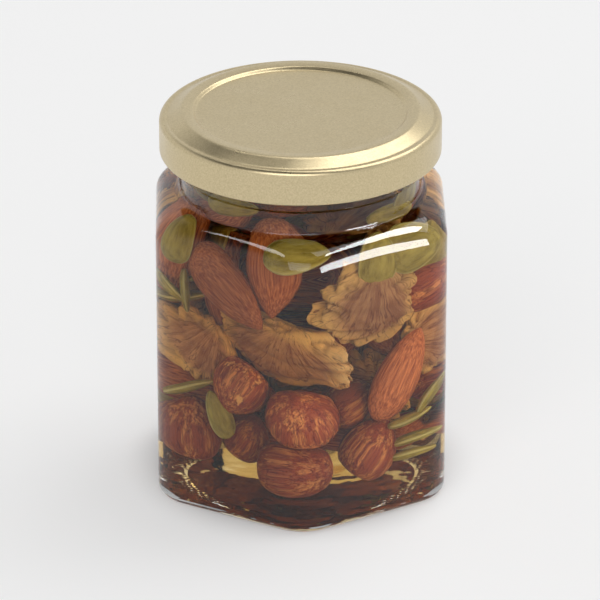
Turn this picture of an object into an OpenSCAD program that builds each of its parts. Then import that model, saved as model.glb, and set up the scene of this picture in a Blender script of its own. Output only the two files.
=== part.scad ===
// Honey jar: a six-sided glass jar with a twist-off lid, filled with honey.
// Millimetres, +Z up, origin at the centre of the base. One upright corner of the jar faces -Y.

/* [Jar body] */
// Width across two opposite flat sides
across_flats = 68; // [56:0.5:110]
// Outer radius of the six upright corners
corner_radius = 11; // [7:0.5:16]
// Height of the glass, from the base to the sealing rim
glass_height = 90; // [60:1:160]
// Thickness of the glass wall
wall = 2.4; // [1.6:0.1:3.2]
// Thickness of the glass base
base_thickness = 4; // [2.5:0.1:8]
// Outer rounding where the wall meets the base
heel_radius = 2.2; // [1:0.1:3.5]

/* [Shoulder and neck] */
// Height over which the shoulder rounds in from the wall to the neck
shoulder_rise = 8; // [6:0.5:12]
// How far the neck stands in from the flat sides
neck_inset = 5.5; // [4:0.1:8]
// Height of the neck, from the top of the shoulder to the sealing rim
neck_height = 16; // [13:0.5:24]
// How far the finish under the lid stands out from the neck
finish_step = 1.2; // [0.6:0.1:2]
// How much of the neck shows under the finish
neck_band = 4.6; // [2:0.1:7]

/* [Lid] */
// Depth of the lid's skirt below the sealing rim
skirt_depth = 7.6; // [5:0.1:9.5]
// Height of the flat panel above the sealing rim
panel_rise = 2; // [1.6:0.1:4]
// Height of the ring's crest above the panel
crest_rise = 0.5; // [0.2:0.1:1]
// Thickness of the lid sheet
sheet = 0.7; // [0.5:0.05:0.9]
// Room for the threads between the finish and the skirt
thread_room = 2.6; // [2:0.1:4]

/* [Honey] */
// Distance of the honey's level below the sealing rim
headspace = 2; // [1.2:0.1:2.4]

/* [Hidden] */

CORNER_STEPS = 10; // points on each of the six corners
BEND_STEPS = 6; // rows on each bend of the glass
RIM_ROUND = 1.4; // outer rounding of the sealing rim
MOUTH_ROUND = 0.8; // inner rounding of the sealing rim
FILLET = 1.1; // hollow bend from the shoulder up to the neck
STEP_RISE = 1.2; // height of the step from the neck out to the finish
SHOULDER_TURN = 76; // degrees that the shoulder turns before the fillet
EDGE_ROUND = 1.3; // rounding between the lid's top and its skirt
CURL = 1.3; // width of the turned-in edge of the skirt
GROOVE_RISE = 0.85; // height of the lid's groove above the sealing rim

half = across_flats / 2;
neck_r = half - neck_inset;
bore_r = neck_r - wall;
finish_r = neck_r + finish_step;
lid_r = finish_r + thread_room + sheet;
shoulder_top = glass_height - neck_height;
wall_top = shoulder_top - shoulder_rise;
finish_z = shoulder_top + neck_band;
honey_level = glass_height - headspace;

// Inside sizes
inner_half = half - wall;
inner_corner = corner_radius - wall;
inner_top = shoulder_top - wall - 0.4; // underside of the shoulder
floor_bend = min(5, 0.58 * inner_corner); // rounding between the inner wall and the floor
mouth_bend = wall; // rounding where the bore opens into the body
bend_r = bore_r + mouth_bend * (1 - cos(80)); // where that rounding ends

// Lid heights
panel_z = glass_height + panel_rise;
crest_z = panel_z + crest_rise;
groove_z = glass_height + GROOVE_RISE;
skirt_z = glass_height - skirt_depth;

function mix(a, b, t) = a + (b - a) * t;
function reversed(list) = [for (i = [len(list) - 1:-1:0]) list[i]];

// A level of the glass is [half width across flats, corner radius, height].
// A level whose half width and corner radius are the same is a circle.
function ring(r, z) = [r, r, z];

// Points round a hexagon with rounded corners, one arc of 60 degrees for each corner
function outline(v) =
    [for (k = [0:5], j = [0:CORNER_STEPS - 1])
        let (reach = (v[0] - v[1]) / cos(30),
             corner = 60 * k + 30,
             turn = 60 * (k + (j + 0.5) / CORNER_STEPS))
        [reach * cos(corner) + v[1] * cos(turn), reach * sin(corner) + v[1] * sin(turn), v[2]]];

// Heel: a quarter round from the base up to the wall
heel_levels =
    [for (i = [0:BEND_STEPS])
        let (a = 90 * i / BEND_STEPS, cut = heel_radius * (1 - sin(a)))
        [half - cut, corner_radius - cut, heel_radius * (1 - cos(a))]];

// Shoulder: a quarter ellipse whose corners open out into the neck's circle
shoulder_in = neck_inset + 0.6;
shoulder_levels =
    [for (i = [0:BEND_STEPS + 2])
        let (a = SHOULDER_TURN * i / (BEND_STEPS + 2), f = 1 - cos(a))
        [half - shoulder_in * f, mix(corner_radius, half - shoulder_in, f),
         wall_top + (shoulder_rise - FILLET) * sin(a)]];

// Fillet up to the neck
fillet_levels =
    [for (a = [30:30:90])
        ring(neck_r + FILLET * (1 - sin(a)), shoulder_top - FILLET * cos(a))];

// Step from the neck out to the finish
step_levels =
    [for (s = [0:0.25:1])
        ring(neck_r + finish_step * (1 - cos(180 * s)) / 2, finish_z + STEP_RISE * s)];

// Rim: a quarter round outside and one inside, with the flat sealing land between them
rim_levels = concat(
    [for (a = [0:22.5:90])
        ring(finish_r - RIM_ROUND * (1 - cos(a)), glass_height - RIM_ROUND * (1 - sin(a)))],
    [for (a = [0:30:90])
        ring(bore_r + MOUTH_ROUND * (1 - sin(a)), glass_height - MOUTH_ROUND * (1 - cos(a)))]);

// Cavity, from the floor up: floor bend, wall, inner shoulder and the bend into the bore
cavity_levels = concat(
    [for (i = [0:BEND_STEPS])
        let (a = 90 * i / BEND_STEPS, cut = floor_bend * (1 - sin(a)))
        [inner_half - cut, inner_corner - cut, base_thickness + floor_bend * (1 - cos(a))]],
    [for (i = [0:BEND_STEPS + 1])
        let (a = 85 * i / (BEND_STEPS + 1), f = 1 - cos(a))
        [mix(inner_half, bend_r, f), mix(inner_corner, bend_r, f),
         wall_top + (inner_top - wall_top) * sin(a)]],
    [for (a = [80:-20:0])
        ring(bore_r + mouth_bend * (1 - cos(a)), inner_top + mouth_bend * (1 - sin(a)))]);

// A closed skin over a stack of levels, closed by flat faces at the first and the last
module skin(levels) {
    n = 6 * CORNER_STEPS;
    last = len(levels) - 1;
    points = [for (v = levels) each outline(v)];
    sides = [for (i = [0:last - 1], j = [0:n - 1])
        let (a = i * n + j, b = i * n + (j + 1) % n)
        each [[a, a + n, b], [b, a + n, b + n]]];
    bottom = [for (j = [0:n - 1]) j];
    top = [for (j = [n - 1:-1:0]) last * n + j];
    polyhedron(points = points, faces = concat([bottom], sides, [top]), convexity = 6);
}

// The glass: up the outside, over the rim and down the inside to the floor
module jar() {
    color([0.86, 0.9, 0.9, 0.4])
        skin(concat(heel_levels, shoulder_levels, fillet_levels, step_levels, rim_levels,
                    reversed(cavity_levels)));
}

// The honey fills the cavity and stops in the bore, a little below the rim
module honey() {
    color([0.6, 0.34, 0.08])
        skin(concat(cavity_levels, [ring(bore_r, honey_level)]));
}

// Lid: panel, raised ring, groove, rounded edge and skirt, with a land that sits on the rim
module lid() {
    edge_z = groove_z + 0.1 - EDGE_ROUND;
    top = [[0, panel_z], [lid_r - 8.7, panel_z], [lid_r - 6.1, crest_z - 0.1], [lid_r - 5.7, crest_z],
           [lid_r - 5.3, crest_z - 0.12], [lid_r - 2.15, groove_z + 0.05], [lid_r - 1.75, groove_z]];
    edge = [for (a = [90:-15:0])
        [lid_r - EDGE_ROUND * (1 - cos(a)), edge_z + EDGE_ROUND * sin(a)]];
    curl = [for (a = [0:-30:-180])
        [lid_r - CURL / 2 * (1 - cos(a)), skirt_z + CURL / 2 * (1 + sin(a))]];
    inside = [[lid_r - CURL, skirt_z + CURL], [lid_r - sheet, skirt_z + CURL + 0.4],
              [lid_r - sheet, glass_height], [bore_r - 0.5, glass_height],
              [bore_r - 0.5, panel_z - sheet], [0, panel_z - sheet]];
    color([0.76, 0.69, 0.52])
        rotate_extrude($fn = 96)
            polygon(concat(top, edge, curl, inside));
}

jar();
honey();
lid();
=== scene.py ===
# Honey jar with nuts and seeds: the looks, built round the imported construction. Metres, +Z up.
import math

import bpy
import numpy as np
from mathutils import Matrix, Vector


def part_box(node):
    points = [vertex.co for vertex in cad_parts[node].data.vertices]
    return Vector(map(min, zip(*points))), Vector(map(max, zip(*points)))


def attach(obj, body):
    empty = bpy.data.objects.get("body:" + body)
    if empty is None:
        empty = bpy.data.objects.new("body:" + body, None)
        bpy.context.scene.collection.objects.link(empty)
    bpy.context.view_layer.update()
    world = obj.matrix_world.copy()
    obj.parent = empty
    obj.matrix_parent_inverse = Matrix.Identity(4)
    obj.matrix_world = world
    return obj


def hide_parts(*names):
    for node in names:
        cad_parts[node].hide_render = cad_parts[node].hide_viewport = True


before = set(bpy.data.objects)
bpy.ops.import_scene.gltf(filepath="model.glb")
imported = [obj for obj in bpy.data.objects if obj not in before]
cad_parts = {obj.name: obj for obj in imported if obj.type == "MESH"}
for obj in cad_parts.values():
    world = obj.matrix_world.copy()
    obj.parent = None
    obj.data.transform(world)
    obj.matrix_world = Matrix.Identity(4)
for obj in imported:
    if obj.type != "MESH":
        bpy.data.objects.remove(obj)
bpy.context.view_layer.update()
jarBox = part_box("jar")
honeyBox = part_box("honey")
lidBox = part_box("lid")
mm = 0.001
print("stage: construction loaded")

scene = bpy.context.scene


def tubeFaces(rows, count):
    # Quads between rows of points that close round on themselves, counted from the first row up
    row = np.arange(rows - 1)[:, None]
    spot = np.arange(count)[None, :]
    after = (spot + 1) % count
    a, b = row * count + spot, row * count + after
    return np.stack([a, b, b + count, a + count], axis=-1).reshape(-1, 4)


def capFaces(first, count, centre, up):
    # A fan of triangles from a centre point to a closed row
    spot = np.arange(count)
    after = (spot + 1) % count
    fan = [first + spot, first + after] if up else [first + after, first + spot]
    return np.stack(fan + [np.full(count, centre)], axis=-1)


def closedSkin(rows):
    # A stack of closed rows with a flat fan at each end: points, quads and triangles
    count = rows.shape[1]
    points = rows.reshape(-1, 3)
    centres = np.array([[0, 0, rows[0, 0, 2]], [0, 0, rows[-1, 0, 2]]])
    low = capFaces(0, count, len(points), False)
    high = capFaces((len(rows) - 1) * count, count, len(points) + 1, True)
    return np.concatenate([points, centres]), tubeFaces(len(rows), count), np.concatenate([low, high])


def addPiece(name, points, quads, triangles, *materials):
    # A smooth mesh object at the origin
    mesh = bpy.data.meshes.new(name)
    mesh.from_pydata(points.tolist(), [], quads.tolist() + triangles.tolist())
    mesh.polygons.foreach_set("use_smooth", np.ones(len(mesh.polygons), bool))
    for material in materials:
        mesh.materials.append(material)
    piece = bpy.data.objects.new(name, mesh)
    scene.collection.objects.link(piece)
    return piece


def arc(start, end, steps):
    return np.radians(np.linspace(start, end, steps + 1))


glass = dict(
    wall=2.4 * mm,
    corner=11 * mm,  # outer radius of the upright corners
    floor=3.2 * mm,  # thickness of the base at its edge
    floorDome=1.4 * mm,  # how far the inside of the base rises to its middle
    floorBend=3.4 * mm,  # inner radius between base and wall
    pushUp=1.3 * mm,  # how far the underside is hollowed
    footRing=4.2 * mm,  # width of the ring it stands on
    hub=0.12,  # share of the base that the flat middle takes
    heel=2.2 * mm,
    shoulderRise=8 * mm,
    shoulderIn=0.6 * mm,  # how far inside the neck the shoulder's arc aims
    roofDrop=0.4 * mm,  # how much more than the wall the glass is thick under the shoulder
    neckInset=5.5 * mm,
    neckHeight=16 * mm,
    neckBand=4.6 * mm,  # height of the plain neck under the step
    fillet=1.1 * mm,
    finishStep=1.2 * mm,
    finishRise=1.2 * mm,
    rimRound=1.4 * mm,
    mouthRound=0.8 * mm,
    overlap=0.15 * mm,  # how far the honey reaches into the glass
    cornerSteps=20,
    flatSteps=12,
    flatEnd=0.02,  # share of a flat side left before its first and last point
)
half = round(float(jarBox[1][0]) / mm * 2) / 2 * mm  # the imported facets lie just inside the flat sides
rimZ = float(jarBox[1][2])
neckR = half - glass["neckInset"]
boreR = neckR - glass["wall"]
finishR = neckR + glass["finishStep"]
shoulderTop = rimZ - glass["neckHeight"]
wallTop = shoulderTop - glass["shoulderRise"]
honeyTop = float(honeyBox[1][2])


def hexRows(levels):
    # Each level is [half width, corner radius, share of circle, circle radius, height]. A row of the
    # hexagon is (half width - corner radius) times a point on a sharp hexagon, plus the corner
    # radius times the direction in which that point faces; the share then moves it to the circle.
    corners, flats, end = glass["cornerSteps"], glass["flatSteps"], glass["flatEnd"]
    side = np.arange(6)[:, None]
    turn = 60 * side + 60 * np.arange(corners + 1)[None, :] / corners
    along = np.concatenate([[end], np.arange(1, flats) / flats, [1 - end]])[None, :, None]
    first, second = [np.radians(60 * side + a) for a in (30, 90)]
    first, second = [np.stack([np.cos(a), np.sin(a)], -1) for a in (first, second)]
    onCorners = first * np.ones((6, corners + 1, 1))
    onFlats = (1 - along) * first + along * second
    sharp = np.concatenate([onCorners, onFlats], 1).reshape(-1, 2) / math.cos(math.radians(30))
    facing = np.radians(np.concatenate([turn, 60 * side + 60 + 0 * along[..., 0]], 1).reshape(-1))
    facing = np.stack([np.cos(facing), np.sin(facing)], -1)
    body = (half - glass["corner"]) * sharp + glass["corner"] * facing
    circle = body / np.linalg.norm(body, axis=1, keepdims=True)
    levels = np.asarray(levels, float)
    h, c, g, r, z = [levels[:, i][:, None, None] for i in range(5)]
    flat = (1 - g) * ((h - c) * sharp[None] + c * facing[None]) + g * r * circle[None]
    return np.concatenate([flat, z + 0 * flat[..., :1]], -1)


def outerLevels():
    # Underside, heel, wall, shoulder, fillet, step of the finish and round of the rim. The underside
    # and the step are half a cosine, the others arcs of a circle.
    g = glass
    rows = []
    foot = half - g["heel"] - g["footRing"]
    for s in np.linspace(g["hub"], 1, 9):
        cut = half - foot * s
        lift = g["pushUp"] * (1 + math.cos(math.pi * s)) / 2
        rows.append([half - cut, max(g["corner"] - cut, 0) * s, (1 - s) ** 0.5, foot * s, lift])
    for a in arc(0, 90, 7):
        cut = g["heel"] * (1 - math.sin(a))
        rows.append([half - cut, g["corner"] - cut, 0, 0, g["heel"] * (1 - math.cos(a))])
    for z in np.linspace(g["heel"], wallTop, 12)[1:-1]:
        rows.append([half, g["corner"], 0, 0, z])
    for a in arc(0, 76, 22):
        z = wallTop + (g["shoulderRise"] - g["fillet"]) * math.sin(a)
        rows.append([half, g["corner"], 1 - math.cos(a), neckR - g["shoulderIn"], z])
    for a in arc(26, 90, 6):
        reach = neckR + g["fillet"] * (1 - math.sin(a))
        rows.append([0, 0, 1, reach, shoulderTop - g["fillet"] * math.cos(a)])
    stepZ = shoulderTop + g["neckBand"]
    for s in np.linspace(0, 1, 7):
        reach = neckR + g["finishStep"] * (1 - math.cos(math.pi * s)) / 2
        rows.append([0, 0, 1, reach, stepZ + g["finishRise"] * s])
    for a in arc(0, 90, 6):
        reach = finishR - g["rimRound"] * (1 - math.cos(a))
        rows.append([0, 0, 1, reach, rimZ - g["rimRound"] * (1 - math.sin(a))])
    return rows


def mouthLevels():
    bend = glass["mouthRound"]
    turns = arc(0, 90, 4)
    return [[0, 0, 1, boreR + bend * (1 - math.sin(a)), rimZ - bend * (1 - math.cos(a))] for a in turns]


def innerLevels(grow, top):
    # From the floor up to the mouth; grow moves the surface outwards into the glass
    g = glass
    inHalf, inCorner = half - g["wall"], g["corner"] - g["wall"]
    inTop = shoulderTop - g["wall"] - g["roofDrop"]
    bend, floorZ = g["floorBend"], g["floor"] - grow
    rows = []
    flat = inHalf - bend + grow
    for s in np.linspace(g["hub"], 1, 9)[:-1]:
        lift = g["floorDome"] * (1 + math.cos(math.pi * s)) / 2
        rows.append([flat * s, (inCorner - bend + grow) * s, (1 - s) ** 0.5, flat * s, floorZ + lift])
    for a in arc(0, 90, 8):
        cut = bend * (1 - math.sin(a)) - grow
        rows.append([inHalf - cut, inCorner - cut, 0, 0, floorZ + bend * (1 - math.cos(a))])
    for z in np.linspace(g["floor"] + bend, wallTop, 12)[1:-1]:
        rows.append([inHalf + grow, inCorner + grow, 0, 0, z])
    bend = g["wall"]
    endR = boreR + bend * (1 - math.cos(math.radians(80))) + grow
    for a in arc(0, 86, 14):
        z = wallTop + (inTop + grow - wallTop) * math.sin(a)
        rows.append([inHalf + grow, inCorner + grow, 1 - math.cos(a), endR, z])
    for a in arc(78, 0, 7):
        reach = boreR + grow + bend * (1 - math.cos(a))
        rows.append([0, 0, 1, reach, inTop + grow + bend * (1 - math.sin(a))])
    for z in np.linspace(inTop + bend, top, 6)[1:]:
        rows.append([0, 0, 1, boreR + grow, z])
    return rows


def blankMaterial(name):
    made = bpy.data.materials.new(name)
    made.use_nodes = True
    made.node_tree.nodes.clear()
    return made, made.node_tree


def add(tree, kind, inputs=None, **settings):
    # One node with its settings. Each input takes a fixed value, or a link from another node's output.
    made = tree.nodes.new(kind)
    for label, value in settings.items():
        setattr(made, label, value)
    for label, value in (inputs or {}).items():
        if hasattr(value, "is_output"):
            tree.links.new(value, made.inputs[label])
        else:
            made.inputs[label].default_value = value
    return made


def calc(tree, operation, *values, **settings):
    # One math node with its inputs in order
    return add(tree, "ShaderNodeMath", dict(enumerate(values)), operation=operation, **settings).outputs[0]


def ramp(tree, value, start, end, low=0, high=1, kind="LINEAR"):
    # Goes from low to high while the value goes from start to end
    inputs = {"Value": value, "From Min": start, "From Max": end, "To Min": low, "To Max": high}
    return add(tree, "ShaderNodeMapRange", inputs, interpolation_type=kind).outputs[0]


def toOutput(tree, shader, volume=None):
    out = add(tree, "ShaderNodeOutputMaterial", {"Surface": shader.outputs[0]})
    if volume:
        tree.links.new(volume.outputs[0], out.inputs["Volume"])


underside = dict(
    top=1.9 * mm,  # height at which the waves and dots have gone
    full=1.4 * mm,  # height under which they are whole
    wobble=0.8 * mm,  # height of the soft waves
    wobbleSize=9 * mm,
    inner=21.5 * mm,  # radii of the ring of dots
    innerSoft=1 * mm,
    outer=25.4 * mm,
    outerSoft=0.8 * mm,
    begins=13 * mm,  # the ring shows only this far from the front and the back
    side=4 * mm,
    pitch=1.5 * mm,
    height=0.4 * mm,
)


def glassMaterial():
    # Clear glass. The underside is slightly wavy and carries a crescent of small raised dots on the
    # left and the right.
    look = underside
    made, tree = blankMaterial("jarGlass")
    place = add(tree, "ShaderNodeTexCoord").outputs["Object"]
    flat = add(tree, "ShaderNodeVectorMath", {0: place, 1: (1, 1, 0)}, operation="MULTIPLY").outputs[0]
    reach = add(tree, "ShaderNodeVectorMath", {0: flat}, operation="LENGTH").outputs["Value"]
    split = add(tree, "ShaderNodeSeparateXYZ", {0: place})
    dots = add(tree, "ShaderNodeTexVoronoi", {"Vector": flat, "Scale": 1 / look["pitch"], "Randomness": 0.3},
               feature="SMOOTH_F1").outputs["Distance"]
    waves = add(tree, "ShaderNodeTexNoise", {"Vector": flat, "Scale": 1 / look["wobbleSize"], "Detail": 1.5})
    under = ramp(tree, split.outputs["Z"], look["top"], look["full"])
    begins = ramp(tree, reach, look["inner"], look["inner"] + look["innerSoft"])
    stops = ramp(tree, reach, look["outer"], look["outer"] - look["outerSoft"])
    aside = calc(tree, "ABSOLUTE", split.outputs["X"])
    sides = ramp(tree, aside, look["begins"], look["begins"] + look["side"])
    raised = begins
    for part in (stops, sides, under, dots, look["height"] / look["wobble"]):
        raised = calc(tree, "MULTIPLY", raised, part)
    level = calc(tree, "MULTIPLY", under, calc(tree, "SUBTRACT", waves.outputs["Fac"], 0.5))
    height = calc(tree, "SUBTRACT", level, raised)
    relief = add(tree, "ShaderNodeBump", {"Strength": 1, "Distance": look["wobble"], "Height": height})
    inputs = {"Base Color": (0.97, 0.98, 0.98, 1), "Roughness": 0, "IOR": 1.52, "Transmission Weight": 1,
              "Normal": relief.outputs[0]}
    toOutput(tree, add(tree, "ShaderNodeBsdfPrincipled", inputs))
    return made


def wettedMaterial():
    # Where honey touches the glass nothing is seen of the wall
    made, tree = blankMaterial("wettedWall")
    toOutput(tree, add(tree, "ShaderNodeBsdfTransparent"))
    return made


honey = dict(absorb=(0.8, 0.595, 0.02, 1), density=56)


def honeyMaterial():
    # It meets the glass without a bend of its own, and takes away more light the deeper one looks
    made, tree = blankMaterial("honeyLiquid")
    inputs = {"Base Color": (1, 1, 1, 1), "Roughness": 0, "IOR": 1, "Transmission Weight": 1}
    depth = add(tree, "ShaderNodeVolumeAbsorption", {"Color": honey["absorb"], "Density": honey["density"]})
    toOutput(tree, add(tree, "ShaderNodeBsdfPrincipled", inputs), depth)
    return made


jarGlass = glassMaterial()
wettedWall = wettedMaterial()
honeyLiquid = honeyMaterial()


def makeJar():
    # Outside from the base up, over the rim, and down the inside to the floor
    outside = outerLevels() + mouthLevels()
    rows = hexRows(outside + innerLevels(0, honeyTop)[::-1])
    points, sides, caps = closedSkin(rows)
    count = rows.shape[1]
    wet = np.repeat(np.arange(len(rows) - 1) >= len(outside), count).astype(int)
    piece = addPiece("jarGlass", points, sides, caps, jarGlass, wettedWall)
    kinds = np.concatenate([wet, np.zeros(count, int), np.ones(count, int)])
    piece.data.polygons.foreach_set("material_index", kinds)
    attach(piece, "root")
    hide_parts("jar")
    return piece


def makeHoney():
    points, sides, caps = closedSkin(hexRows(innerLevels(glass["overlap"], honeyTop)))
    piece = addPiece("honeyFill", points, sides, caps, honeyLiquid)
    smooth = np.arange(len(sides) + len(caps)) < len(sides)
    piece.data.polygons.foreach_set("use_smooth", smooth)
    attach(piece, "root")
    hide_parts("honey")


jarPiece = makeJar()
makeHoney()
print("stage: glass and honey")

# The nuts and seeds that show through the two front panes are placed one by one, and so are a few at the
# back. Each row gives the kind, the pane's bearing in degrees, then in millimetres how far along the
# pane, how far up and how deep behind its inner face the middle lies. The angles are the turn of the
# long axis in the pane, its lean inwards and the roll about it. The last three are the length, width
# and thickness. A gap is room that is kept clear.
shown = [
    ("almond", -120, -3, 57, 5.2, -40, 2, 8, 24, 12, 8.6),
    ("almond", -120, 7.7, 64, 6, -84, -3, -10, 24.5, 11.8, 8.4),
    ("almond", -150, -5, 62.5, 5, -88, -18, 0, 24, 12.4, 8.8),
    ("almond", -60, 9, 33.7, 5.4, 62, -2, 12, 24.6, 12.6, 9),
    ("walnut", -60, 0.6, 54, 7, -6, 0, 4, 28.5, 21, 13),
    ("walnut", -120, 11, 43.6, 10.5, -17, 0, 16, 35, 17, 12),
    ("walnut", -120, -13.5, 40, 8, -37, 6, -14, 25, 16, 11),
    ("walnut", -60, 18, 41, 9, 80, 0, 20, 22, 15, 10),
    ("hazelnut", -120, -0.2, 32.7, 7.6, -120, -24, 0, 14.6, 14.2, 14.2),
    ("hazelnut", -120, -13.2, 18.2, 7.8, 88, -12, 0, 16.5, 15, 15),
    ("hazelnut", -120, -0.9, 17.6, 13.5, 60, 0, 0, 12.8, 12.4, 12.4),
    ("hazelnut", -120, 14.2, 27.2, 6.8, 80, -30, 0, 14.6, 14.8, 14.2),
    ("hazelnut", -120, 12.2, 13.6, 6.8, 10, -8, 60, 17, 13.2, 13.2),
    ("hazelnut", -60, 1.3, 15.2, 7.4, 52, -10, 0, 15.4, 14.8, 14.8),
    ("hazelnut", -60, 17.5, 54, 8, 20, 0, 0, 14, 13.4, 13.4),
    ("hazelnut", -60, -2.5, 27, 13, 20, 0, 0, 13, 12.4, 12.4),
    ("seed", -120, -17, 66.6, 2.2, 84, 26, 6, 10, 7.6, 2.8),
    ("seed", -90, -1.8, 68.3, -0.2, 2, 0, -44, 14.8, 7.4, 2.9),
    ("seed", -60, 12.6, 65.8, 1.8, 8, -3, -14, 13.8, 10.6, 2.9),
    ("seed", -60, 2.4, 64.8, 3, 75, 2, -6, 11.4, 10.6, 2.9),
    ("seed", -60, 12, 71.5, 7, 165, 0, 10, 13.5, 8.6, 2.7),
    ("seed", -60, 17, 76, 9, 70, 0, 30, 13, 8.6, 2.7),
    ("seed", -60, 16.5, 60.5, 8, 60, 0, 20, 12, 8, 2.7),
    ("seed", -120, -11, 79, 8, -20, 0, 20, 13, 8, 2.6),
    ("seed", -120, -4, 77, 8, 10, 0, 30, 13, 8, 2.6),
    ("seed", -120, -13.8, 55, 4, -86, 0, 78, 11, 6.4, 2.4),
    ("seed", -120, -18.9, 54.6, 3.2, -43, 0, 60, 9, 6, 2.4),
    ("seed", -120, -13.2, 30.3, 3.4, 26, 0, 76, 14, 7, 2.4),
    ("seed", -120, -4.4, 25.4, 2.4, 115, 0, 38, 12.4, 6.8, 2.4),
    ("seed", -60, 11.4, 22, 4, 9, 8, 80, 12, 7, 2.4),
    ("seed", -60, 13.4, 16.6, 4, 4, 0, 80, 13, 7, 2.4),
    ("seed", -60, 12.4, 12.4, 4.4, -2, 6, 72, 12, 7, 2.4),
    ("seed", -60, 17, 27, 4, 50, 4, 60, 11, 7, 2.4),
    ("hazelnut", 90, -8.4, 12.3, 9.4, 30, 0, 0, 14.8, 14.4, 14.4),
    ("hazelnut", 90, 8, 12.1, 8.8, 80, 20, 0, 14.4, 14, 14),
    ("almond", 90, 0.5, 9.4, 18, 8, 0, 84, 26, 13, 8.8),
    ("gap", 120, 9, 10, 3.5, 0, 0, 0, 14, 14, 14),
    ("gap", 60, -9, 10, 3.5, 0, 0, 0, 14, 14, 14),
    ("gap", 180, -8, 9, 4, 0, 0, 0, 11, 11, 11),
    ("gap", 0, 8, 9, 4, 0, 0, 0, 11, 11, 11),
    ("gap", -90, 3.5, 51, 7, 0, 0, 0, 16, 16, 16),
    ("gap", -90, 4, 55, 17, 0, 0, 0, 17, 17, 17),
    ("gap", -90, 3, 40, 12, 0, 0, 0, 12, 12, 12),
    ("gap", -90, 4, 61, 8, 0, 0, 0, 14, 14, 14),
    ("gap", -90, 4, 79, 12, 0, 0, 0, 16, 16, 16),
    ("gap", -60, 6, 80, 12, 0, 0, 0, 16, 16, 16),
    ("gap", -90, 2, 71, 16, 0, 0, 0, 12, 12, 12),
]

# The rest fill the jar: how many, and their usual length, width and thickness in millimetres
filling = dict(
    almond=(20, (22.5, 12.6, 8.6)),
    hazelnut=(20, (14.6, 14, 14)),
    walnut=(9, (27, 21, 12.5)),
    seed=(30, (14, 8.4, 2.6)),
)
packing = dict(
    seed=7,
    rounds=220,
    low=6.5 * mm,
    high=80 * mm,
    floor=4.8 * mm,  # no nut's surface reaches below this
    clear=0.15 * mm,  # nor nearer to the glass than this
    spread=0.05625,  # how much the sizes differ
    smallest=0.85,
    largest=1.18,
    pace=0.8,  # share of each push that is taken in one round
    longest=2 * mm,  # and the most a nut moves or turns in it
    sharpest=0.15,
)

# Balls that stand for each kind while it is packed: middle and radius, as shares of the sizes
balls = dict(
    almond=[(-0.27, 0, 0, 0.42), (-0.06, 0, 0, 0.47), (0.17, 0, 0, 0.42), (0.36, 0, 0, 0.25),
            (-0.14, 0.25, 0, 0.36), (-0.14, -0.25, 0, 0.36), (0.08, 0.22, 0, 0.34), (0.08, -0.22, 0, 0.34)],
    hazelnut=[(0, 0, 0, 0.5)],
    gap=[(0, 0, 0, 0.5)],
    walnut=[(-0.26, 0.2, 0, 0.42), (-0.26, -0.2, 0, 0.42), (0, 0.27, 0, 0.42), (0, -0.27, 0, 0.42),
            (0.26, 0.2, 0, 0.42), (0.26, -0.2, 0, 0.42), (0, 0, 0, 0.48)],
    seed=[(-0.36, 0, 0, 0.5), (-0.2, 0.2, 0, 0.5), (-0.2, -0.2, 0, 0.5), (0, 0.3, 0, 0.5), (0, -0.3, 0, 0.5),
          (0, 0, 0, 0.5), (0.2, 0.16, 0, 0.5), (0.2, -0.16, 0, 0.5), (0.38, 0, 0, 0.5)],
)


def placed(row):
    # Middle, axes and size of one nut from its place on a pane
    bearing, across, up, deep, turn, lean, roll, *size = row
    bearing = math.radians(bearing)
    turn, lean, roll = np.radians([turn, lean, roll])
    outward = np.array([math.cos(bearing), math.sin(bearing), 0])
    along = np.array([-math.sin(bearing), math.cos(bearing), 0])
    upward = np.array([0, 0, 1])
    middle = outward * (half - glass["wall"] - deep * mm) + along * across * mm + upward * up * mm
    inPane = math.cos(turn) * along + math.sin(turn) * upward
    lengthwise = math.cos(lean) * inPane - math.sin(lean) * outward
    face = outward - lengthwise * (outward @ lengthwise)
    face /= np.linalg.norm(face)
    face = math.cos(roll) * face + math.sin(roll) * np.cross(lengthwise, face)
    return middle, np.stack([lengthwise, np.cross(face, lengthwise), face], 1), np.array(size) * mm


def turned(angles):
    # Rotation matrices from turns about an axis (Rodrigues): the unit matrix, plus the sine of the
    # turn times the cross matrix, plus one minus its cosine times the cross matrix squared
    size = np.linalg.norm(angles, axis=-1, keepdims=True)[..., None]
    axis = angles / np.maximum(size[..., 0], 1e-9)
    x, y, z = axis[:, 0], axis[:, 1], axis[:, 2]
    o = 0 * x
    cross = np.stack([o, -z, y, z, o, -x, -y, x, o], -1).reshape(-1, 3, 3)
    return np.eye(3) + np.sin(size) * cross + (1 - np.cos(size)) * (cross @ cross)


def startNuts():
    # The ones placed one by one, then the free ones at random
    random = np.random.default_rng(packing["seed"])
    nuts = [(row[0], *placed(row[1:]), False) for row in shown]
    for kind, (count, usual) in filling.items():
        for _ in range(count):
            bearing = math.radians(random.uniform(-40, 220))
            nearWall = random.random() < 0.75
            share = random.uniform(0.55, 0.9) if nearWall else random.uniform(0, 0.6)
            reach = (half - glass["wall"]) * share
            height = random.uniform(packing["low"] + 6 * mm, 78 * mm)
            middle = np.array([reach * math.cos(bearing), reach * math.sin(bearing), height])
            turn = turned(random.normal(0, 2, (1, 3)))[0]
            differ = random.normal(1, packing["spread"], 3).clip(packing["smallest"], packing["largest"])
            nuts.append((kind, middle, turn, np.array(usual) * mm * differ, True))
    kinds, middles, axes, sizes, free = zip(*nuts)
    return kinds, np.array(middles), np.array(axes), np.array(sizes), np.array(free)


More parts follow.
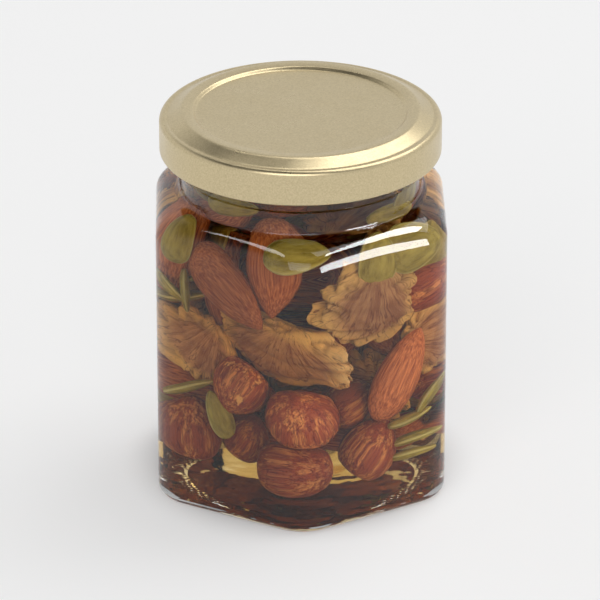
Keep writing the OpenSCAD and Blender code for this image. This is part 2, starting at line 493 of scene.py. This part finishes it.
def packNuts():
    # Free nuts are pushed apart, off the glass and off the ones placed one by one
    kinds, middles, axes, sizes, free = startNuts()
    owner = np.concatenate([[i] * len(balls[k]) for i, k in enumerate(kinds)])
    local = np.concatenate([np.array(balls[k])[:, :3] * sizes[i] for i, k in enumerate(kinds)])
    radius = np.concatenate([np.array(balls[k])[:, 3] * sizes[i][2] for i, k in enumerate(kinds)])
    other = owner[:, None] != owner[None, :]
    inertia = np.bincount(owner, (local**2).sum(1) + radius**2)[:, None]
    number = np.bincount(owner)[:, None]
    share = np.where(free[owner][None, :], 0.5, 1.0)
    inner = half - glass["wall"]
    vertex = (half - glass["corner"]) / math.cos(math.radians(30)) + glass["corner"] - glass["wall"]
    bend = np.radians(np.arange(0, 91, 15))
    roomZ = np.append(wallTop + (shoulderTop - wallTop) * 0.72 * np.sin(bend), rimZ)
    roomR = np.append(boreR + (vertex - boreR) * np.cos(bend), boreR)
    bearings = np.radians(np.arange(6) * 60)
    outwards = np.stack([np.cos(bearings), np.sin(bearings)], 1)
    for _ in range(packing["rounds"]):
        arm = np.einsum("nij,nj->ni", axes[owner], local)
        spot = middles[owner] + arm
        gap = spot[:, None] - spot[None]
        far = np.linalg.norm(gap, axis=-1) + 1e-9
        deep = np.where(other, radius[:, None] + radius[None] - far, 0).clip(0)
        push = (gap / far[..., None] * (deep * share)[..., None]).sum(1) * free[owner][:, None]
        push[:, :2] -= (spot[:, :2] @ outwards.T + radius[:, None] - inner).clip(0) @ outwards
        cap = np.interp(spot[:, 2] + 0.5 * radius, roomZ, roomR)
        flat = np.linalg.norm(spot[:, :2], axis=1) + 1e-9
        push[:, :2] -= spot[:, :2] / flat[:, None] * (flat + radius - cap).clip(0)[:, None]
        rise = (packing["low"] + radius - spot[:, 2]).clip(0)
        sink = (spot[:, 2] + radius - packing["high"]).clip(0)
        push[:, 2] += rise - sink
        move = np.stack([np.bincount(owner, push[:, i]) for i in range(3)], 1)
        spin = np.cross(arm, push)
        spin = np.stack([np.bincount(owner, spin[:, i]) for i in range(3)], 1) / inertia
        move = free[:, None] * packing["pace"] * move / np.sqrt(number)
        spin = free[:, None] * packing["pace"] * spin
        middles += move.clip(-packing["longest"], packing["longest"])
        axes = turned(spin.clip(-packing["sharpest"], packing["sharpest"])) @ axes
    print(f"packing: {free.sum()} free nuts, mean overlap left {deep.max(1).mean() / mm:.2f} mm")
    return np.array(kinds), middles, axes, sizes


nutKinds, nutMiddles, nutAxes, nutSizes = packNuts()
print("stage: nuts packed")


def shapeGrid(rows, around):
    # Along from -1 at the blunt end to 1 at the tip, closer together at the ends, and round in radians
    t = np.linspace(0, math.pi, rows + 2)[1:-1]
    turn = np.linspace(0, 2 * math.pi, around, endpoint=False)
    along = -np.cos(t)[None, :, None] * np.ones((1, 1, around))
    return along, turn[None, None, :] * np.ones((1, rows, 1))


def halfSizes(size):
    return [size[:, i][:, None, None] / 2 for i in range(3)]


def waves(points, length, random, count=9):
    # Soft noise: a sum of cosine waves in random directions, each about the given length
    total = 0
    for _ in range(count):
        way = random.normal(0, 1, 3)
        way *= 2 * math.pi / length / np.linalg.norm(way) * random.uniform(0.7, 1.4)
        total = total + np.cos(points @ way + random.uniform(0, 2 * math.pi))
    return total / math.sqrt(count / 2)


def girth(s, tip, base):
    # Width along a nut: distance from the tip to one power times distance from the base to another,
    # divided by the most that this reaches. Low powers give round ends.
    widest = (base - tip) / (base + tip)
    most = (1 - widest) ** tip * (1 + widest) ** base
    return (1 - s) ** tip * (1 + s) ** base / most


almondForm = dict(rows=34, around=56, tip=0.72, base=0.5, groove=0.014, bend=0.05, square=0.06)


def almondShape(size, random):
    # Width and thickness follow a teardrop; grooves are cosines round it and fade at the ends
    form = almondForm
    s, a = shapeGrid(form["rows"], form["around"])
    wide = girth(s, form["tip"], form["base"])
    each = random.uniform(0, 2 * math.pi, (len(size), 1, 1))
    groove = np.cos(17 * a + 1.2 * np.sin(2 * s + each) + each) + 0.7 * np.cos(29 * a - 1.5 * s + 2 * each)
    groove = groove + 0.8 * np.cos(9 * a + 1.8 * np.sin(1.5 * s + 2 * each) + 3 * each)
    r = wide * (1 + form["groove"] * groove * wide)
    l, w, t = halfSizes(size)
    x = l * s + 0 * r
    y = w * r * np.cos(a) + l * form["bend"] * np.sin(each) * (1 - s**2)
    z = t * r * np.sin(a) * (1 + form["square"] * np.cos(2 * a))
    return np.stack([x, y, z], -1), s, a, groove / 5 + 0.5


hazelnutForm = dict(rows=34, around=56, tip=0.54, base=0.44, rib=0.011, flatFrom=-0.75, flatness=0.45,
                    point=0.1, chipped=0.2)


def hazelnutShape(size, random):
    # Nearly a ball: flatter at the base, drawn to a small point at the tip, with faint ribs. The mark
    # is 1 on the ones whose skin is chipped.
    form = hazelnutForm
    s, a = shapeGrid(form["rows"], form["around"])
    each = random.uniform(0, 2 * math.pi, (len(size), 1, 1))
    rib = np.cos(11 * a + 0.8 * np.sin(2 * s + each) + each) + 0.8 * np.cos(18 * a + s + 2 * each)
    out = 1 + 0.05 * np.cos(2 * a + each) + 0.03 * np.cos(3 * a + 2 * each)
    r = girth(s, form["tip"], form["base"]) * out * (1 + form["rib"] * rib * (1 - s**2))
    l, w, t = halfSizes(size)
    start = form["flatFrom"]
    flat = np.where(s < start, start + (s - start) * form["flatness"], s)
    x = l * (flat + form["point"] * s.clip(0) ** 12 + 0.04) + 0 * r
    y = w * r * np.cos(a)
    z = t * r * np.sin(a)
    order = np.arange(len(size))
    chipped = (random.uniform(0, 1, len(size)) < form["chipped"]) & (order > 8) | (order == 0)
    return np.stack([x, y, z], -1), s, a, chipped[:, None, None] * 1.0


walnutForm = dict(
    rows=66, around=96,
    middle=0.95,  # usual distance from the middle, as a share of half the size
    lobe=0.045, coarse=0.008, fine=0.016, swell=0.03,  # heights of lobes, small bumps and slow swells
    crease=0.11, creaseWidth=0.36, split=0.07, splitWidth=0.1, notch=0.14,
    dome=0.85, under=0.5, hollow=0.25, lift=0.15,  # how high the dome, the underside and its hollow are
)


def walnutShape(size, random):
    # Half a kernel: a low dome with a groove down its middle. Lobes run out to the rim, growing with
    # the square of the distance, and narrow creases part them; softer waves break both up. The mark
    # is how deep in a crease a point lies, and the skin is darkened by it as painted shade.
    form = walnutForm
    s, a = shapeGrid(form["rows"], form["around"])
    way = np.stack([s + 0 * a, np.sqrt(1 - s**2) * np.cos(a), np.sqrt(1 - s**2) * np.sin(a)], -1)[0]
    shapes, creaseShades = [], []
    for halves in size / 2:
        warp = np.stack([waves(way, 1.1, random) for _ in range(3)], -1)
        bearing = np.arctan2(way[..., 1], way[..., 0])
        reach = np.hypot(way[..., 0], way[..., 1])
        bearing = bearing + 0.16 * warp[..., 0] + 0.5 * (1 - reach) * warp[..., 1]
        lobe = np.cos(random.integers(9, 12) * bearing + 0.9 * warp[..., 2]) + 0.3 * waves(way, 0.5, random)
        small = waves(way + 0.15 * warp, 0.3, random, 14)
        crease = np.exp(-(((lobe + 1) / form["creaseWidth"]) ** 2)) * reach**2
        split = np.exp(-((way[..., 1] / form["splitWidth"]) ** 2)) * (1 - 0.6 * way[..., 0] ** 2)
        notch = np.exp(-(((way[..., 0] - 1) / 0.3) ** 2) - (way[..., 1] / 0.2) ** 2)
        bumps = form["lobe"] * lobe * reach**2 + (form["coarse"] + form["fine"] * reach**2) * small
        r = form["middle"] + bumps + form["swell"] * warp[..., 0]
        r = r - form["crease"] * crease - form["split"] * split - form["notch"] * notch
        x, y, z = np.moveaxis(way * r[..., None], -1, 0)
        below = form["under"] - form["hollow"] * np.exp(-((y / 0.25) ** 2))
        z = z * np.where(z < 0, below, form["dome"]) + form["lift"]
        shapes.append(np.stack([x, y, z], -1) * halves)
        creaseShades.append((0.8 * crease + 0.08 * small * reach + 0.4 * split).clip(0, 1))
    return np.array(shapes), s, a, np.array(creaseShades)


seedForm = dict(rows=26, around=36, tip=0.66, base=0.44, marginAt=0.84, marginWidth=0.1, marginDepth=0.5)


def seedShape(size, random):
    # A flat teardrop, thicker in the middle, with a raised margin round its edge. The mark is how far
    # out to its edge a point lies.
    form = seedForm
    s, a = shapeGrid(form["rows"], form["around"])
    each = random.uniform(0, 2 * math.pi, (len(size), 1, 1))
    wide = girth(s, form["tip"], form["base"])
    l, w, t = halfSizes(size)
    edge = np.abs(np.cos(a))
    groove = np.exp(-(((edge - form["marginAt"]) / form["marginWidth"]) ** 2))
    thick = wide**0.7 * np.sin(a) * (1 - form["marginDepth"] * groove)
    x = l * s + 0 * each
    y = w * wide * np.sign(np.cos(a)) * edge**0.8 * (1 + 0.02 * np.sin(3 * s + each))
    z = t * thick + 0.06 * l * np.sin(each) * (s**2 - 0.4) + 0.05 * w * np.cos(each) * edge**2
    return np.stack([x, y + 0 * z, z], -1), s, a, edge + 0 * z


roomRows = hexRows(innerLevels(0, honeyTop))


def roomReach(points):
    # How far from the axis the inner wall lies at each point's height and bearing
    level = np.interp(points[..., 2], roomRows[:, 0, 2], np.arange(len(roomRows)))
    around = np.arctan2(roomRows[0, :, 1], roomRows[0, :, 0]) % (2 * math.pi)
    order = np.argsort(around)
    bearing = np.arctan2(points[..., 1], points[..., 0]) % (2 * math.pi)
    spot = np.interp(bearing, around[order], np.arange(len(order)), period=2 * math.pi)
    reach = np.linalg.norm(roomRows[:, order, :2], axis=-1)
    low, left = np.floor(level).astype(int), np.floor(spot).astype(int)
    high, right = np.minimum(low + 1, len(roomRows) - 1), (left + 1) % len(order)
    up, side = level - low, spot - left
    below = (1 - side) * reach[low, left] + side * reach[low, right]
    above = (1 - side) * reach[high, left] + side * reach[high, right]
    return (1 - up) * below + up * above


def settled(every):
    # Shifts each nut towards the axis until it is clear of the wall, and off the top and the floor
    for _ in range(6):
        flat = np.linalg.norm(every[..., :2], axis=-1)
        past = (flat - roomReach(every) + packing["clear"]).clip(0)
        most = past.max(1)
        spot = every[np.arange(len(every)), past.argmax(1)]
        way = spot[:, :2] / np.linalg.norm(spot[:, :2], axis=1, keepdims=True)
        every[..., :2] -= (way * most[:, None])[:, None]
        below = (packing["floor"] - every[..., 2].min(1)).clip(0)
        above = (every[..., 2].max(1) - honeyTop + 1 * mm).clip(0)
        every[..., 2] += (below - above)[:, None]
    print(f"settled: {(most > 0.1 * mm).sum()} still touch the wall")
    return every


def makeKind(name, kind, shape, skin, seed):
    # All nuts of one kind as one mesh. Its points carry a place for the grain, a tone for each nut,
    # the shape's mark, and the distance along the nut, or on a walnut out to its rim.
    chosen = nutKinds == kind
    random = np.random.default_rng(seed)
    points, s, a, mark = shape(nutSizes[chosen], random)
    count, rows, around = points.shape[:3]
    poles = np.stack([points[:, 0].mean(1), points[:, -1].mean(1)], 1)
    every = np.concatenate([points.reshape(count, -1, 3), poles], 1)
    every = settled(np.einsum("nij,nkj->nki", nutAxes[chosen], every) + nutMiddles[chosen][:, None])
    each = rows * around + 2
    low = capFaces(0, around, each - 2, False)
    high = capFaces((rows - 1) * around, around, each - 1, True)
    shift = (np.arange(count) * each)[:, None, None]
    quads = (tubeFaces(rows, around)[None] + shift).reshape(-1, 4)
    triangles = (np.concatenate([low, high])[None] + shift).reshape(-1, 3)
    piece = addPiece(name, every.reshape(-1, 3), quads, triangles, skin)
    s, a, mark = [np.broadcast_to(v, points.shape[:3]) for v in (s, a, mark)]
    offset = random.uniform(0, 50, (count, 1, 1, 3))
    grain = np.stack([np.cos(a) * np.sqrt(1 - s**2), np.sin(a) * np.sqrt(1 - s**2), s], -1)
    tip = s
    if kind == "walnut":
        # the veins of its papery skin spread from the middle of one long side
        across, along, deep = grain[..., 0] - 1.1, grain[..., 2], grain[..., 1]
        tip = np.hypot(s, grain[..., 0])
        grain = np.stack([3.2 * np.arctan2(along, -across), 0.8 * deep, 0.5 * np.hypot(across, along)], -1)
    ends = np.tile([-1.0, 1.0], (count, 1))
    poleGrain = np.stack([0 * ends, 0 * ends, ends], -1) + offset[:, 0]
    grain = np.concatenate([(grain + offset).reshape(count, -1, 3), poleGrain], 1)
    tone = np.repeat(random.uniform(0, 1, count), each)
    mark = np.concatenate([mark.reshape(count, -1), 0 * ends], 1)
    tip = np.concatenate([tip.reshape(count, -1), ends], 1)
    attributes = piece.data.attributes
    attributes.new("grain", "FLOAT_VECTOR", "POINT").data.foreach_set("vector", grain.ravel())
    for label, values in (("tone", tone), ("mark", mark), ("tip", tip)):
        attributes.new(label, "FLOAT", "POINT").data.foreach_set("value", values.ravel())
    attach(piece, "root")
    print(f"{name}: {count} nuts, {2 * len(quads) + len(triangles)} triangles")
    return piece


def group(name, inputs, outputs):
    # An empty group with its named inputs and their usual values, and its named outputs
    tree = bpy.data.node_groups.new(name, "ShaderNodeTree")
    kinds = {float: "NodeSocketFloat", tuple: "NodeSocketColor"}
    for label, value in inputs.items():
        tree.interface.new_socket(label, in_out="INPUT", socket_type=kinds[type(value)]).default_value = value
    for label, kind in outputs.items():
        tree.interface.new_socket(label, in_out="OUTPUT", socket_type=kinds[kind])
    return tree, tree.nodes.new("NodeGroupInput").outputs, tree.nodes.new("NodeGroupOutput").inputs


def drawnNoise(tree, given, detail, roughness):
    # Noise that is drawn out along each nut
    grain = add(tree, "ShaderNodeAttribute", attribute_name="grain").outputs["Vector"]
    scale = add(tree, "ShaderNodeCombineXYZ", {"X": 1, "Y": 1, "Z": given["Stretch"]}).outputs[0]
    drawn = add(tree, "ShaderNodeVectorMath", {0: grain, 1: scale}, operation="MULTIPLY").outputs[0]
    inputs = {"Vector": drawn, "Scale": given["Scale"], "Detail": detail, "Roughness": roughness}
    return add(tree, "ShaderNodeTexNoise", inputs).outputs["Fac"]


def streakGroup():
    # Streaks drawn out along a nut: 0 and 1 on either side of a soft edge, and the noise itself
    usual = dict(Stretch=0.1, Scale=6.0, Softness=0.1, Balance=0.5)
    tree, given, out = group("grainStreaks", usual, dict(Streak=float, Noise=float))
    noise = drawnNoise(tree, given, 6, 0.6)
    low = calc(tree, "SUBTRACT", given["Balance"], given["Softness"])
    high = calc(tree, "ADD", given["Balance"], given["Softness"])
    tree.links.new(ramp(tree, noise, low, high, kind="SMOOTHSTEP"), out["Streak"])
    tree.links.new(noise, out["Noise"])
    return tree


def veinGroup():
    # Thin lines where a drawn-out noise crosses its middle value
    tree, given, out = group("thinVeins", dict(Stretch=0.3, Scale=3.0, Width=0.03), dict(Vein=float))
    away = calc(tree, "ABSOLUTE", calc(tree, "SUBTRACT", drawnNoise(tree, given, 3, 0.5), 0.5))
    tree.links.new(ramp(tree, away, 0, given["Width"], 1, 0, "SMOOTHSTEP"), out["Vein"])
    return tree


def toneGroup():
    # Every nut has its own brightness between two limits
    usual = dict(Color=(1, 1, 1, 1), Darkest=0.75, Lightest=1.2)
    tree, given, out = group("pieceTone", usual, dict(Color=tuple))
    tone = add(tree, "ShaderNodeAttribute", attribute_name="tone").outputs["Fac"]
    value = ramp(tree, tone, 0, 1, given["Darkest"], given["Lightest"])
    toned = add(tree, "ShaderNodeHueSaturation", {"Value": value, "Color": given["Color"]})
    tree.links.new(toned.outputs[0], out["Color"])
    return tree


grainStreaks = streakGroup()
thinVeins = veinGroup()
pieceTone = toneGroup()


def streaks(tree, *values):
    return add(tree, "ShaderNodeGroup", dict(enumerate(values)), node_tree=grainStreaks).outputs


def veins(tree, *values):
    return add(tree, "ShaderNodeGroup", dict(enumerate(values)), node_tree=thinVeins).outputs["Vein"]


def readMark(tree, label):
    return add(tree, "ShaderNodeAttribute", attribute_name=label).outputs["Fac"]


def mixed(tree, amount, first, second, share=None):
    # Blends two colours by an amount, or by a share of it
    if share is not None:
        amount = calc(tree, "MULTIPLY", amount, share, use_clamp=True)
    return add(tree, "ShaderNodeMix", {0: amount, 6: first, 7: second}, data_type="RGBA").outputs[2]


def skinned(made, tree, colour, height, look):
    # Shared end of the skins: tone, roughness and relief; inside honey they hardly shine
    inputs = {"Color": colour, "Darkest": look["darkest"], "Lightest": look["lightest"]}
    tone = add(tree, "ShaderNodeGroup", inputs, node_tree=pieceTone).outputs["Color"]
    inputs = {"Strength": look["relief"], "Distance": look["depth"], "Height": height}
    relief = add(tree, "ShaderNodeBump", inputs)
    inputs = {"Base Color": tone, "Specular IOR Level": 0.08, "Roughness": look["rough"],
              "Normal": relief.outputs[0]}
    toOutput(tree, add(tree, "ShaderNodeBsdfPrincipled", inputs))
    return made


# Streaks are given as stretch, scale, softness and balance, and veins as stretch, scale and width
almondLook = dict(
    dark=(0.26, 0.045, 0.016, 1), light=(0.68, 0.22, 0.07, 1), scuff=(0.85, 0.5, 0.26, 1),
    streak=(0.09, 13, 0.22, 0.5), scuffs=(0.35, 5, 0.03, 0.72),
    darkest=0.75, lightest=1.2, rough=0.6, relief=0.7, depth=0.4 * mm,
)


def almondMaterial():
    look = almondLook
    made, tree = blankMaterial("almondSkin")
    streak = streaks(tree, *look["streak"])
    colour = mixed(tree, streak["Streak"], look["dark"], look["light"])
    colour = mixed(tree, streaks(tree, *look["scuffs"])["Streak"], colour, look["scuff"])
    return skinned(made, tree, colour, streak["Noise"], look)


hazelnutLook = dict(
    dark=(0.12, 0.01, 0.008, 1), mid=(0.33, 0.058, 0.02, 1), light=(0.68, 0.24, 0.062, 1),
    chip=(0.75, 0.36, 0.1, 1),
    patches=(0.12, 2.1, 0.08, 0.515), streak=(0.05, 7, 0.07, 0.48), chips=(0.9, 1.1, 0.015, 0.6),
    lines=(0.06, 4.5, 0.032), lineShare=0.8, threads=(0.04, 8, 0.045), threadShare=0.6,
    darkest=0.75, lightest=1.2, rough=0.5, relief=0.5, depth=0.3 * mm,
)


def hazelnutMaterial():
    look = hazelnutLook
    made, tree = blankMaterial("hazelnutSkin")
    streak = streaks(tree, *look["streak"])
    colour = mixed(tree, streaks(tree, *look["patches"])["Streak"], look["mid"], look["light"])
    colour = mixed(tree, streak["Streak"], look["mid"], colour)
    colour = mixed(tree, veins(tree, *look["threads"]), colour, look["dark"], look["threadShare"])
    colour = mixed(tree, veins(tree, *look["lines"]), colour, look["dark"], look["lineShare"])
    broken = calc(tree, "MULTIPLY", streaks(tree, *look["chips"])["Streak"], readMark(tree, "mark"))
    colour = mixed(tree, broken, colour, look["chip"])
    return skinned(made, tree, colour, streak["Noise"], look)


# The crease colour is painted shade laid into the creases and the middle groove
walnutLook = dict(
    skin=(0.33, 0.125, 0.05, 1), pale=(0.54, 0.255, 0.1, 1), rim=(0.88, 0.52, 0.18, 1),
    crease=(0.16, 0.045, 0.018, 1), vein=(0.13, 0.025, 0.014, 1),
    patches=(0.8, 2.4, 0.14, 0.5), veins=(0.25, 2.2, 0.022), veinShare=0.7,
    twigs=(0.5, 4.5, 0.018), twigShare=0.35,
    rimFrom=0.58, rimFull=0.93, rimShare=0.85, creaseShadeShare=0.7,
    darkest=0.85, lightest=1.15, rough=0.65, relief=0.6, depth=0.35 * mm,
)


def walnutMaterial():
    look = walnutLook
    made, tree = blankMaterial("walnutMeat")
    patches = streaks(tree, *look["patches"])
    rim = ramp(tree, readMark(tree, "tip"), look["rimFrom"], look["rimFull"], kind="SMOOTHSTEP")
    colour = mixed(tree, patches["Streak"], look["skin"], look["pale"])
    colour = mixed(tree, rim, colour, look["rim"], look["rimShare"])
    colour = mixed(tree, veins(tree, *look["twigs"]), colour, look["vein"], look["twigShare"])
    colour = mixed(tree, veins(tree, *look["veins"]), colour, look["vein"], look["veinShare"])
    # Darker in the creases and the middle groove: painted shade
    colour = mixed(tree, readMark(tree, "mark"), colour, look["crease"], look["creaseShadeShare"])
    return skinned(made, tree, colour, patches["Noise"], look)


seedLook = dict(
    dark=(0.2, 0.135, 0.014, 1), light=(0.46, 0.34, 0.06, 1), margin=(0.56, 0.45, 0.15, 1),
    streak=(0.4, 2.5, 0.2, 0.5), fine=(0.1, 12, 0.2, 0.5), fineShare=0.3,
    marginFrom=0.86, marginFull=0.98, marginShare=0.8,
    darkest=0.75, lightest=1.2, rough=0.5, relief=0.3, depth=0.2 * mm,
)


def seedMaterial():
    look = seedLook
    made, tree = blankMaterial("seedSkin")
    fine = streaks(tree, *look["fine"])
    edge = readMark(tree, "mark")
    margin = ramp(tree, edge, look["marginFrom"], look["marginFull"], 0, look["marginShare"])
    colour = mixed(tree, streaks(tree, *look["streak"])["Streak"], look["dark"], look["light"])
    colour = mixed(tree, fine["Streak"], colour, look["light"], look["fineShare"])
    colour = mixed(tree, margin, colour, look["margin"])
    return skinned(made, tree, colour, fine["Noise"], look)


makeKind("almonds", "almond", almondShape, almondMaterial(), 11)
makeKind("hazelnuts", "hazelnut", hazelnutShape, hazelnutMaterial(), 12)
makeKind("walnuts", "walnut", walnutShape, walnutMaterial(), 13)
makeKind("pumpkinSeeds", "seed", seedShape, seedMaterial(), 14)
print("stage: nuts and seeds")


lid = dict(
    around=180,
    sunk=0.8 * mm,  # how far the panel lies under the ring
    panelR=24.3 * mm,
    climb=1.1 * mm,  # width of the step from the panel to the ring
    ringFall=0.16 * mm,  # how far under the top the step ends
    ringWide=2.1 * mm,
    groove=0.85 * mm,  # height of the shallow groove over the rim of the glass
    edge=1.3 * mm,
    curl=1.3 * mm,
    sheet=0.7 * mm,
    slope=((27.75, 0.03), (28, 0.1), (28.4, 0.32), (29.5, 0.86), (30.5, 1.36)),  # radius, depth under the top
    grooveRows=((30.85, 0.12), (31.1, 0.03), (31.3, 0.03), (31.5, 0.08)),  # radius, height over the groove
)


def lidProfile():
    # Radius and height from the panel out over the ring, down the skirt and back inside. The step is
    # half a cosine, the ring a parabola, and the edge and the curl are arcs of a circle.
    s = lid
    low, top, outR = float(lidBox[0][2]), float(lidBox[1][2]), float(lidBox[1][0])
    panelZ, grooveZ = top - s["sunk"], rimZ + s["groove"]
    edgeZ = grooveZ + 0.12 * mm - s["edge"]
    curlR = s["curl"] / 2
    boreEdge = boreR - 0.5 * mm
    rows = [[s["panelR"] * 0.5, panelZ], [s["panelR"] - 1.2 * mm, panelZ]]
    for t in np.linspace(0, 1, 13):
        rise = (1 - math.cos(math.pi * t)) / 2 * (s["sunk"] - s["ringFall"])
        rows.append([s["panelR"] + t * s["climb"], panelZ + rise])
    for t in np.linspace(0, 1, 7)[1:]:
        rows.append([s["panelR"] + s["climb"] + t * s["ringWide"], top - s["ringFall"] * (1 - t) ** 2])
    rows += [[r * mm, top - deep * mm] for r, deep in s["slope"]]
    rows += [[r * mm, grooveZ + up * mm] for r, up in s["grooveRows"]]
    rows += [[outR - s["edge"] * (1 - math.cos(a)), edgeZ + s["edge"] * math.sin(a)] for a in arc(80, 0, 10)]
    rows += [[outR, z] for z in np.linspace(edgeZ, low + curlR, 6)[1:-1]]
    rows += [[outR - curlR * (1 - math.cos(a)), low + curlR * (1 + math.sin(a))] for a in arc(0, -180, 12)]
    rows += [[outR - s["curl"], low + s["curl"]], [outR - s["sheet"], low + s["curl"] + 0.4 * mm]]
    rows += [[outR - s["sheet"], rimZ], [boreEdge, rimZ], [boreEdge, panelZ - s["sheet"]]]
    return np.array(rows)


lidLook = dict(
    dark=(0.53, 0.437, 0.26, 1), light=(0.69, 0.58, 0.365, 1), scratched=(0.35, 0.28, 0.16, 1),
    grain=2600, cloud=160, scratch=1400, scratchTurn=(0.5, 0.35, 0.8), scratchDrawn=(1, 0.06, 1),
    scratchFrom=0.7, scratchFull=0.76, scratchShare=0.14,
    smooth=0.26, rough=0.36, relief=0.22, depth=0.05 * mm,
)


def lidMaterial():
    # Satin gold lacquer on sheet metal: fine grain in colour and shine, and a few short scratches
    look = lidLook
    made, tree = blankMaterial("lidGold")
    place = add(tree, "ShaderNodeTexCoord").outputs["Object"]
    inputs = {"Vector": place, "Rotation": look["scratchTurn"], "Scale": look["scratchDrawn"]}
    drawn = add(tree, "ShaderNodeMapping", inputs).outputs[0]
    inputs = {"Vector": place, "Scale": look["grain"], "Detail": 3, "Roughness": 0.7}
    grain = add(tree, "ShaderNodeTexNoise", inputs).outputs["Fac"]
    inputs = {"Vector": place, "Scale": look["cloud"], "Detail": 4, "Roughness": 0.6}
    cloud = add(tree, "ShaderNodeTexNoise", inputs).outputs["Fac"]
    inputs = {"Vector": drawn, "Scale": look["scratch"], "Detail": 2}
    scratch = add(tree, "ShaderNodeTexNoise", inputs).outputs["Fac"]
    colour = mixed(tree, ramp(tree, grain, 0.3, 0.7), look["dark"], look["light"])
    scratch = ramp(tree, scratch, look["scratchFrom"], look["scratchFull"])
    colour = mixed(tree, scratch, colour, look["scratched"], look["scratchShare"])
    rough = ramp(tree, cloud, 0.3, 0.7, look["smooth"], look["rough"])
    inputs = {"Strength": look["relief"], "Distance": look["depth"], "Height": grain}
    relief = add(tree, "ShaderNodeBump", inputs).outputs[0]
    inputs = {"Base Color": colour, "Metallic": 1, "Roughness": rough, "Normal": relief}
    toOutput(tree, add(tree, "ShaderNodeBsdfPrincipled", inputs))
    return made


def makeLid():
    # The profile turned round the upright axis, from the inside out
    profile = lidProfile()[::-1]
    turn = np.arange(lid["around"]) * 2 * math.pi / lid["around"]
    reach, z = profile[:, :1], profile[:, 1:]
    rows = np.stack([reach * np.cos(turn), reach * np.sin(turn), z + 0 * turn], -1)
    piece = addPiece("lidShell", *closedSkin(rows), lidMaterial())
    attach(piece, "root")
    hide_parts("lid")


makeLid()
print("stage: lid")


studio = dict(elevation=25.7, turn=-1.0, distance=1.285, aimX=-0.12 * mm, aimZ=43 * mm, lens=325.5)


def makeCamera():
    # Looks down on the jar from the front, turned a little to the left
    e, t = math.radians(studio["elevation"]), math.radians(studio["turn"])
    back = np.array([math.cos(e) * math.sin(t), -math.cos(e) * math.cos(t), math.sin(e)])
    data = bpy.data.cameras.new("camera")
    data.lens = studio["lens"]
    data.sensor_width = 36
    data.clip_start = 0.05
    data.clip_end = 50
    camera = bpy.data.objects.new("camera", data)
    camera.location = np.array([studio["aimX"], 0, studio["aimZ"]]) + studio["distance"] * back
    camera.rotation_euler = (math.pi / 2 - e, 0, t)
    scene.collection.objects.link(camera)
    scene.camera = camera


# The table's glow is painted light that lightens its shadows; near and far bound the painted shade round the
# jar's foot
table = dict(size=12, colour=(0.5, 0.5, 0.5, 1), rough=0.9, glow=0.44, near=19 * mm, far=44 * mm)


def makeFloor():
    # A pale table that also glows a little, a painted light that keeps the shadows on it pale. Close round
    # the jar the glow is left out,
    # a painted shade round its foot: the glow grows smoothly from the near to the far distance from the axis
    made, tree = blankMaterial("floorWhite")
    place = add(tree, "ShaderNodeTexCoord").outputs["Object"]
    reach = add(tree, "ShaderNodeVectorMath", {0: place}, operation="LENGTH").outputs["Value"]
    fade = ramp(tree, reach, table["near"], table["far"], kind="SMOOTHSTEP")
    inputs = {"Base Color": table["colour"], "Roughness": table["rough"], "Specular IOR Level": 0,
              "Emission Color": fade, "Emission Strength": table["glow"]}
    toOutput(tree, add(tree, "ShaderNodeBsdfPrincipled", inputs))
    s = table["size"] / 2
    corners = np.array([(-s, -s, 0), (s, -s, 0), (s, s, 0), (-s, s, 0)])
    addPiece("floor", corners, np.array([[0, 1, 2, 3]]), np.empty((0, 3), int), made)


sky = dict(low=1.0, high=0.12, start=0.5, end=0.82)


def makeWorld():
    # Bright low down all round and darker overhead, by the upright part of the direction
    scene.world = bpy.data.worlds.new("studio")
    scene.world.use_nodes = True
    tree = scene.world.node_tree
    tree.nodes.clear()
    place = add(tree, "ShaderNodeTexCoord").outputs["Generated"]
    upright = add(tree, "ShaderNodeSeparateXYZ", {0: place}).outputs["Z"]
    strength = ramp(tree, upright, sky["start"], sky["end"], sky["low"], sky["high"], "SMOOTHSTEP")
    back = add(tree, "ShaderNodeBackground", {"Strength": strength})
    add(tree, "ShaderNodeOutputWorld", {"Surface": back.outputs[0]})


def softbox(name, bearing, height, distance, size, glow, onlyShine=False, onlyOn=None):
    # A soft light that faces the jar from a bearing and a height in degrees. Its power is the glow
    # times pi times its area, so the glow alone says how bright its reflection is.
    b, e = math.radians(bearing), math.radians(height)
    data = bpy.data.lights.new(name, "AREA")
    data.shape = "RECTANGLE"
    data.size, data.size_y = size
    data.energy = glow * math.pi * size[0] * size[1]
    lamp = bpy.data.objects.new(name, data)
    way = np.array([math.cos(e) * math.cos(b), math.cos(e) * math.sin(b), math.sin(e)])
    lamp.location = way * distance + np.array([0, 0, studio["aimZ"]])
    lamp.rotation_euler = (math.pi / 2 - e, 0, b + math.pi / 2)
    if onlyShine:
        lamp.visible_transmission = False
        lamp.visible_diffuse = False
    if onlyOn:
        lit = bpy.data.collections.new(name)
        lit.objects.link(onlyOn)
        lamp.light_linking.receiver_collection = lit
    scene.collection.objects.link(lamp)


makeCamera()
makeFloor()
makeWorld()
softbox("key", 33, 60, 2.3, (1.8, 1.8), 2.4)
softbox("fill", -100, 40, 2.3, (1.7, 1.3), 2.2)
# Narrow lights that only shine, for the bright lines along the edges of the glass
softbox("stripHigh", 6, 55, 2, (1.1, 0.4), 17, True, jarPiece)
softbox("stripLow", -33, 14, 2, (1.15, 0.9), 16, True, jarPiece)
softbox("stripLeft", 180, 63, 2, (0.9, 0.25), 6, True, jarPiece)
softbox("stripBack", 97, 63, 2, (1.1, 0.4), 1.6, True)
scene.view_settings.view_transform = "Standard"
print("stage: studio")
